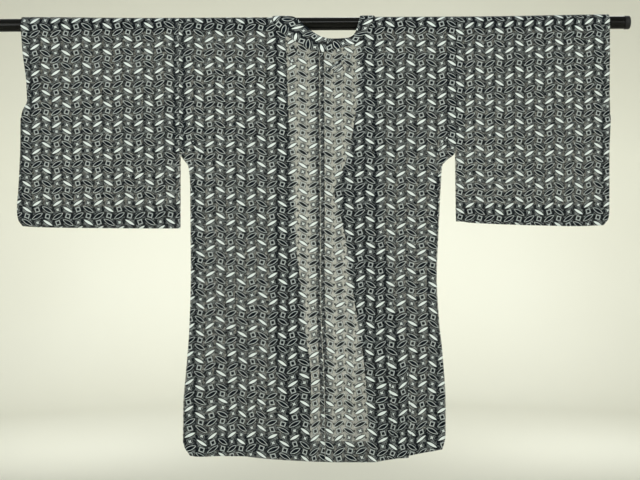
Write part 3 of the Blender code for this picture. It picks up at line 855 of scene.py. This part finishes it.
class Recipe:
    """A material's nodes: node() makes any of them, with its settings first and then its sockets."""

    def __init__(self, name):
        self.material = bpy.data.materials.new(name)
        self.material.use_nodes = True
        self.tree = self.material.node_tree
        self.tree.nodes.clear()

    def node(self, kind, settings=None, sockets=None, output=0):
        made = self.tree.nodes.new(kind)
        for setting, value in (settings or {}).items():
            setattr(made, setting, value)
        for socket, value in (sockets or {}).items():
            if isinstance(value, Shade):
                self.tree.links.new(value.socket, made.inputs[socket])
            else:
                made.inputs[socket].default_value = value
        return Shade(self, made.outputs[output]) if made.outputs else None

    def place(self, uv_map):
        """The piece's own places in a UV map, as across and down, in millimetres."""
        place = self.node("ShaderNodeUVMap", {"uv_map": uv_map})
        parts = self.node("ShaderNodeSeparateXYZ", None, {0: place})
        across = Shade(self, parts.socket.node.outputs[0]) * 1000
        down = Shade(self, parts.socket.node.outputs[1]) * 1000
        return place, across, down

    def colours(self, share, first, second):
        return self.node("ShaderNodeMix", {"data_type": "RGBA"}, {0: share, 6: first, 7: second}, output=2)

    def noise(self, where, scale, detail=2.0):
        return self.node("ShaderNodeTexNoise", None, {"Vector": where, "Scale": scale, "Detail": detail})

    def own_place(self):
        return self.node("ShaderNodeTexCoord", output=3)

    def stretched(self, where, scales):
        return self.node("ShaderNodeMapping", None, {0: where, 3: scales})

    def bump(self, height, strength, distance=0.0002):
        sockets = {"Strength": strength, "Distance": distance, "Height": height}
        return self.node("ShaderNodeBump", None, sockets)

    def surface(self, sockets):
        shader = self.node("ShaderNodeBsdfPrincipled", None, sockets)
        self.node("ShaderNodeOutputMaterial", None, {"Surface": shader})
        return self.material


NAVY = (0.0040, 0.0075, 0.0115, 1.0)
WHITE_YARN = (0.80, 0.86, 0.83, 1.0)
LENS_LEAN = math.radians(31)
SQUARE_LEAN = math.radians(17)

# In millimetres
LENS_HALF_LENGTH = 12.2
LENS_HALF_WIDTH = 2.85
DARK_LENS_HALF_WIDTH = 3.1
WARP_WAVE = 0.74
WEFT_WAVE = 0.92


def woven_gauze(name):
    """Sheer navy gauze with a woven repeat of leaning lenses and squares, four across and four down.

    Lenses and squares stand in turn, each in a cell of its own. Rows one to four of the chart hold white
    motifs in columns one and two, in all columns, in columns three and four, and in none.
    """
    recipe = Recipe(name)
    place, across, down = recipe.place("cut")
    cell_width, cell_height = REPEAT_ACROSS * 1000 / MOTIFS, REPEAT_DOWN * 1000 / MOTIFS
    column_place, row_place = across / cell_width, down / cell_height
    column, row = column_place.floor(), row_place.floor()
    beside = (column_place - column - 0.5) * cell_width
    under = (row_place - row - 0.5) * cell_height
    way = (column % 2) * 2 - 1
    row_of_four = row % MOTIFS
    in_first_half = (column % MOTIFS).below(1.5, 0.1)
    is_lens = (column + row) % 2
    is_white = (
        row_of_four.is_near(1)
        + row_of_four.is_near(0) * in_first_half
        + row_of_four.is_near(2) * (1 - in_first_half)
    )
    leaned = under * way

    def turned(lean):
        along = beside * math.cos(lean) + leaned * math.sin(lean)
        aside = leaned * math.cos(lean) - beside * math.sin(lean)
        return along, aside

    # the lens: where two arcs cross, with thin lines round it
    half_width = DARK_LENS_HALF_WIDTH - is_white * (DARK_LENS_HALF_WIDTH - LENS_HALF_WIDTH)
    arc = (LENS_HALF_LENGTH ** 2 + half_width * half_width) / (half_width * 2)
    along, aside = turned(LENS_LEAN)
    from_centre = abs(aside) + arc - half_width
    to_lens = (along * along + from_centre * from_centre).root() - arc
    in_lens = to_lens.below(0.0, 0.3)
    first_line = to_lens.between(0.1, 1.2, 0.3)
    dark_line = to_lens.between(0.0, 2.15, 0.4)
    second_line = to_lens.between(2.25, 3.3, 0.3)
    third_line = to_lens.between(4.6, 5.5, 0.3)
    # the square: a star, a band round it and a thin frame
    square_x, square_y = turned(SQUARE_LEAN)
    square_x, square_y = abs(square_x), abs(square_y)
    to_square, least = square_x.most(square_y), square_x.least(square_y)
    star = (square_x + square_y) * 0.55 + (to_square - least) * 1.1
    in_star = star.below(2.9 + is_white * 0.8, 0.5)
    in_square = to_square.below(5.6, 0.4)
    in_band = to_square.between(3.1, 5.5, 0.4)
    in_frame = to_square.between(4.9, 5.8, 0.4)
    in_rim = to_square.between(5.6, 7.0, 0.4)
    specks = abs((least * 1.9).sine()).below(0.6, 0.6)
    # dark knots where the tips of the lenses meet
    to_side = cell_width / 2 - abs(beside)
    knot = (to_side * to_side + under * under).root().below(2.3, 0.6) * 0.9

    thread = recipe.noise(recipe.stretched(place, (900.0, 140.0, 1.0)), 1.0)
    cloudy = recipe.noise(place, 21.0, 3.0)
    warp = (across * (2 * math.pi / WARP_WAVE)).sine()
    weft = (down * (2 * math.pi / WEFT_WAVE)).sine()
    weave = warp * weft

    # how white and how dense the yarns are, first on the open ground and then on each motif
    ground_white = thread * 0.025
    ground_dense = 0.56 + weave * 0.08 + (cloudy - 0.5) * 0.24
    lens_white = ground_white.toward(0.34, third_line).toward(is_white * 0.54, second_line)
    lens_white = lens_white.toward(0.0, dark_line).toward(0.64 - is_white * 0.64, first_line)
    lens_white = lens_white.toward(is_white * (0.80 + thread * 0.16), in_lens)
    lens_dense = ground_dense.toward(0.80, third_line).toward(0.84 - is_white * 0.04, second_line)
    lens_dense = lens_dense.toward(0.96, dark_line).toward(0.985, in_lens)
    band_white = (1 - is_white) * in_band * (0.26 + specks * 0.48) + is_white * in_frame * 0.40
    square_white = ground_white.toward(0.0, in_rim).toward(band_white, in_square)
    square_white = square_white.toward(is_white * 0.68, in_star)
    square_dense = ground_dense.toward(0.82, in_rim).toward(0.96, in_square)
    white = square_white.toward(lens_white, is_lens).toward(0.0, knot)
    dense = square_dense.toward(lens_dense, is_lens).toward(0.97, knot)

    ply = recipe.node("ShaderNodeAttribute", {"attribute_name": "ply"}, output=2)
    opaque = 1 - (1 - dense.least(0.985)) ** ply
    height = weave * 0.25 + in_lens * is_lens * 0.9 + thread * 0.4
    return recipe.surface(
        {
            "Base Color": recipe.colours(white, NAVY, WHITE_YARN),
            "Roughness": 0.68 - white * 0.10,
            "Alpha": opaque,
            "Normal": recipe.bump(height, 0.35, 0.00025),
            "Specular IOR Level": 0.05,
        }
    )


def sewing_thread(name):
    """Fine twisted navy thread."""
    recipe = Recipe(name)
    twist = recipe.noise(recipe.own_place(), 2200.0)
    return recipe.surface(
        {
            "Base Color": recipe.colours(twist, (0.02, 0.026, 0.034, 1.0), (0.075, 0.085, 0.095, 1.0)),
            "Roughness": 0.55 + twist * 0.2,
            "Normal": recipe.bump(twist, 0.4),
        }
    )


def rod_paint(name):
    """Glossy black paint with a faint orange peel and dull rub marks."""
    recipe = Recipe(name)
    place = recipe.own_place()
    peel = recipe.noise(place, 900.0)
    rubbed = recipe.noise(recipe.stretched(place, (9.0, 90.0, 90.0)), 1.0, 4.0)
    black, worn = (0.0022, 0.0022, 0.0018, 1.0), (0.0060, 0.0060, 0.0050, 1.0)
    return recipe.surface(
        {
            "Base Color": recipe.colours(rubbed, black, worn),
            "Roughness": 0.09 + rubbed * 0.08,
            "Normal": recipe.bump(peel, 0.06),
            "Specular IOR Level": 0.12,
        }
    )


def cap_plastic(name):
    """Satin black plastic with a fine moulded grain."""
    recipe = Recipe(name)
    grain = recipe.noise(recipe.own_place(), 1600.0)
    return recipe.surface(
        {
            "Base Color": recipe.colours(grain, (0.008, 0.008, 0.008, 1.0), (0.018, 0.018, 0.018, 1.0)),
            "Roughness": 0.36 + grain * 0.16,
            "Normal": recipe.bump(grain, 0.25),
            "Specular IOR Level": 0.2,
        }
    )


def studio_paint(name):
    """Matt pale cream, a little uneven."""
    recipe = Recipe(name)
    uneven = recipe.noise(recipe.own_place(), 0.7, 1.0)
    return recipe.surface(
        {
            "Base Color": recipe.colours(uneven, (0.80, 0.785, 0.680, 1.0), (0.84, 0.83, 0.735, 1.0)),
            "Roughness": 0.9,
        }
    )


def spun(name, profile, axis, steps, weld, finish, hollow=False):
    """A smooth form, spun from a profile's points round an axis, and seen from inside where it is hollow."""
    mesh = bpy.data.meshes.new(name)
    form = bmesh.new()
    points = [form.verts.new(point) for point in profile]
    edges = [form.edges.new(pair) for pair in zip(points, points[1:])]
    bmesh.ops.spin(form, geom=points + edges, cent=(0, 0, 0), axis=axis, angle=2 * math.pi, steps=steps)
    bmesh.ops.remove_doubles(form, verts=form.verts, dist=weld)
    bmesh.ops.recalc_face_normals(form, faces=form.faces)
    if hollow:
        bmesh.ops.reverse_faces(form, faces=form.faces)
    form.to_mesh(mesh)
    form.free()
    mesh.materials.append(finish)
    mesh.shade_smooth()
    return placed(name, mesh)


def turned_piece(name, profile, finish):
    """A smooth round piece along X from a profile of (x, radius) points."""
    points = [(x, 0.0, radius) for x, radius in profile]
    piece = spun(name, points, (1, 0, 0), ROD_SIDES, WELD, finish)
    piece.data.set_sharp_from_angle(angle=math.radians(40))
    return piece


def rounded_end(x, radius, rounding, outwards):
    """A profile's points from its full radius round its edge to the axis."""
    points = []
    for step in range(9):
        turn = math.pi / 2 * step / 8
        inwards, down = rounding * (1 - math.sin(turn)), rounding * (1 - math.cos(turn))
        points.append((x - outwards * inwards, radius - down))
    return points + [(x, 0.0)]


def dress(piece, node):
    """Lets a piece ride with the coat and stand for its solid."""
    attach(piece, "root")
    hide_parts(node)


def rod_and_caps(paint, plastic):
    """The round rod and its end caps, each over its own solid."""
    low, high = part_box("rod")
    left_end = rounded_end(low.x, ROD_RADIUS, ROD_EDGE, -1)[::-1]
    rod = turned_piece("hanging_rod", left_end + rounded_end(high.x, ROD_RADIUS, ROD_EDGE, 1), paint)
    dress(rod, "rod")
    for node, outwards in (("rod_cap_left", -1), ("rod_cap_right", 1)):
        low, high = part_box(node)
        near, far = (low.x, high.x) if outwards > 0 else (high.x, low.x)
        lip = [(near, 0.0), (near, CAP_RADIUS - CAP_LIP), (near + outwards * CAP_LIP, CAP_RADIUS)]
        groove = near + outwards * GROOVE_PLACE
        ring = [
            (groove - outwards * GROOVE_DEPTH, CAP_RADIUS),
            (groove, CAP_RADIUS - GROOVE_DEPTH),
            (groove + outwards * GROOVE_DEPTH, CAP_RADIUS),
        ]
        profile = lip + ring + rounded_end(far, CAP_RADIUS, CAP_EDGE, outwards)
        cap = turned_piece(node.replace("rod_cap", "end_cap"), profile, plastic)
        dress(cap, node)


def stitch_tree(thread):
    """Geometry nodes that lay short stitches along a curve, a pitch apart."""
    tree = bpy.data.node_groups.new("stitches", "GeometryNodeTree")
    tree.interface.new_socket("Geometry", in_out="INPUT", socket_type="NodeSocketGeometry")
    inputs = {}
    for name in ("Pitch", "Stitch length", "Thread radius"):
        socket = tree.interface.new_socket(name, in_out="INPUT", socket_type="NodeSocketFloat")
        inputs[name] = socket.identifier
    tree.interface.new_socket("Geometry", in_out="OUTPUT", socket_type="NodeSocketGeometry")
    nodes = tree.nodes
    given = nodes.new("NodeGroupInput")
    result = nodes.new("NodeGroupOutput")
    points = nodes.new("GeometryNodeCurveToPoints")
    points.mode = "LENGTH"
    stitch = nodes.new("GeometryNodeMeshCylinder")
    stitch.inputs["Vertices"].default_value = 6
    stitch.inputs["Side Segments"].default_value = 1
    laid = nodes.new("GeometryNodeInstanceOnPoints")
    real = nodes.new("GeometryNodeRealizeInstances")
    finish = nodes.new("GeometryNodeSetMaterial")
    finish.inputs["Material"].default_value = thread
    for source, output, target, socket in (
        (given, "Geometry", points, "Curve"),
        (given, "Pitch", points, "Length"),
        (given, "Stitch length", stitch, "Depth"),
        (given, "Thread radius", stitch, "Radius"),
        (points, "Points", laid, "Points"),
        (points, "Rotation", laid, "Rotation"),
        (stitch, "Mesh", laid, "Instance"),
        (laid, "Instances", real, "Geometry"),
        (real, "Geometry", finish, "Geometry"),
        (finish, "Geometry", result, "Geometry"),
    ):
        tree.links.new(source.outputs[output], target.inputs[socket])
    return tree, inputs


def seam_lines():
    """The lines that stitches follow, as lists of points just over the outer face of the cloth."""
    proud = SHELL / 2
    hem = QUARTER_TURN + HEM_DROP - HEM_TURN + 0.003
    lines = []
    for left in (True, False):
        for run in (hem, -hem):
            ends = np.array([run])
            x = np.linspace(inner_edge(ends, left)[0], side_edge(ends, left)[0], 60)
            lines.append(drape(x, hung_run(x, np.full(x.shape, run)), proud))
    sections = collar_sections(STITCHED_STEP)
    seam_x = blend(sections[:, 0], sections[:, 2], 0.06)
    seam_run = blend(sections[:, 1], sections[:, 3], 0.06)
    lines.append(drape(seam_x, seam_run, ON_PANEL + COLLAR_WALL / 2))
    for left in (True, False):
        table = LEFT_SLEEVE_EDGE if left else RIGHT_SLEEVE_EDGE
        drop = spread(0.0, CUFF_DROP, STITCHED_STEP)
        edge = read(table, drop, "x")
        x = edge + (CUFF_TURN - 0.003) * (1 if left else -1)
        for side in (1, -1):
            lines.append(sleeve_surface(x, side * (QUARTER_TURN + drop + 0.0001), edge, proud))
    return lines


def stitches(name, thread, pitch, length, radius):
    """All the hand stitches that show, made along the seam lines and turned into one plain mesh."""
    curve = bpy.data.curves.new(name + "_line", "CURVE")
    curve.dimensions = "3D"
    for line in seam_lines():
        spline = curve.splines.new("POLY")
        spline.points.add(len(line) - 1)
        spline.points.foreach_set("co", np.hstack([line, np.ones((len(line), 1))]).ravel())
    guide = placed(name + "_line", curve)
    tree, inputs = stitch_tree(thread)
    sewing = guide.modifiers.new("stitches", "NODES")
    sewing.node_group = tree
    for socket, value in (("Pitch", pitch), ("Stitch length", length), ("Thread radius", radius)):
        sewing[inputs[socket]] = value
    bpy.context.view_layer.update()
    made = bpy.data.meshes.new_from_object(guide.evaluated_get(bpy.context.evaluated_depsgraph_get()))
    bpy.data.objects.remove(guide)
    made.name = name
    made.materials.clear()
    made.materials.append(thread)
    made.shade_smooth()
    return placed(name, made)


def studio():
    """A pale floor that curves up into a round wall, soft lights, and the camera of the photograph's view."""
    floor_drop, floor_radius, bend, wall_height = 1.75, 6.0, 2.0, 6.0
    profile = [(0.0, 0.0), (floor_radius, 0.0)]
    for step in range(1, 25):
        turn = math.pi / 2 * step / 24
        profile.append((floor_radius + bend * math.sin(turn), bend * (1 - math.cos(turn))))
    profile.append((floor_radius + bend, wall_height))
    points = [(radius, 0.0, height - floor_drop) for radius, height in profile]
    floor = spun("studio_floor", points, (0, 0, 1), 96, 0.0001, studio_paint("studio_paint"), hollow=True)

    world = bpy.data.worlds.new("soft sky")
    world.use_nodes = True
    sky = world.node_tree.nodes["Background"].inputs
    sky["Color"].default_value = (0.97, 1.0, 1.0, 1.0)
    sky["Strength"].default_value = 0.45
    bpy.context.scene.world = world
    lights = tabled(
        "name place aim width height power",
        ("strip", (0.0, -3.0, 1.60), (0.0, 0.0, 0.0), 3.2, 0.28, 52.0),
        ("left", (-2.6, -3.4, 0.2), (0.0, 0.0, -0.5), 1.8, 2.4, 50.0),
        ("right", (2.8, -3.2, -0.1), (0.0, 0.0, -0.5), 1.8, 2.4, 42.0),
        ("wall_left", (-1.6, 2.2, -0.2), (-1.5, 8.0, -1.0), 1.6, 1.0, 30.0),
        ("wall_right", (1.6, 2.2, -0.2), (1.5, 8.0, -1.0), 1.6, 1.0, 30.0),
        ("rear", (1.2, 3.6, 1.8), (0.0, 0.0, -0.4), 2.4, 1.6, 40.0),
    )
    for light in lights:
        data = bpy.data.lights.new(light.name, "AREA")
        data.shape = "RECTANGLE"
        data.size, data.size_y = light.width, light.height
        data.energy = light.power
        data.spread = math.radians(85) if light.name.startswith("wall") else math.pi
        data.color = (0.97, 1.0, 0.985)
        lamp = placed(light.name, data)
        place = Matrix.Translation(light.place)
        aim = (Matrix.Translation(light.aim).translation - place.translation).to_track_quat("-Z", "Y")
        lamp.matrix_world = place @ aim.to_matrix().to_4x4()
        lamp.visible_camera = False

    # The picture is 640 by 480, each of its pixels is 2.2 mm at the coat, and it leans a little to the left
    pixel, picture_width, distance = 0.0022, 640, 2.4
    middle_x, middle_drop, roll = -0.0011, 0.4780, 0.00467
    camera_data = bpy.data.cameras.new("camera")
    camera_data.sensor_width = 36.0
    camera_data.lens = camera_data.sensor_width * distance / (pixel * picture_width)
    camera = placed("camera", camera_data)
    upright = Matrix.Rotation(math.pi / 2, 4, "X") @ Matrix.Rotation(-roll, 4, "Z")
    camera.matrix_world = Matrix.Translation((middle_x, -distance - 0.014, -middle_drop)) @ upright
    bpy.context.scene.camera = camera
    bpy.context.scene.view_settings.view_transform = "Standard"
    bpy.context.scene.cycles.transparent_max_bounces = 40


studio()
gauze = woven_gauze("woven_gauze")
thread = sewing_thread("sewing_thread")

body_left = body_panel("cloth_body_left", True, BODY_LEFT_GRAIN, gauze)
body_right = body_panel("cloth_body_right", False, BODY_RIGHT_GRAIN, gauze)
sleeve_left = sleeve("cloth_sleeve_left", True, SLEEVE_LEFT_GRAIN, gauze)
sleeve_right = sleeve("cloth_sleeve_right", False, SLEEVE_RIGHT_GRAIN, gauze)
neck_band = collar("cloth_collar", gauze)
gusset_left = gusset("cloth_gusset_left", True, BODY_LEFT_GRAIN, gauze)
gusset_right = gusset("cloth_gusset_right", False, BODY_RIGHT_GRAIN, gauze)
dress(body_left, "body_left")
dress(body_right, "body_right")
dress(sleeve_left, "sleeve_left")
dress(sleeve_right, "sleeve_right")
dress(neck_band, "collar")
dress(gusset_left, "gusset_left")
dress(gusset_right, "gusset_right")
rod_and_caps(rod_paint("rod_paint"), cap_plastic("cap_plastic"))
sewing = stitches("hand_stitches", thread, pitch=0.011, length=0.0032, radius=0.00016)
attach(sewing, "root")
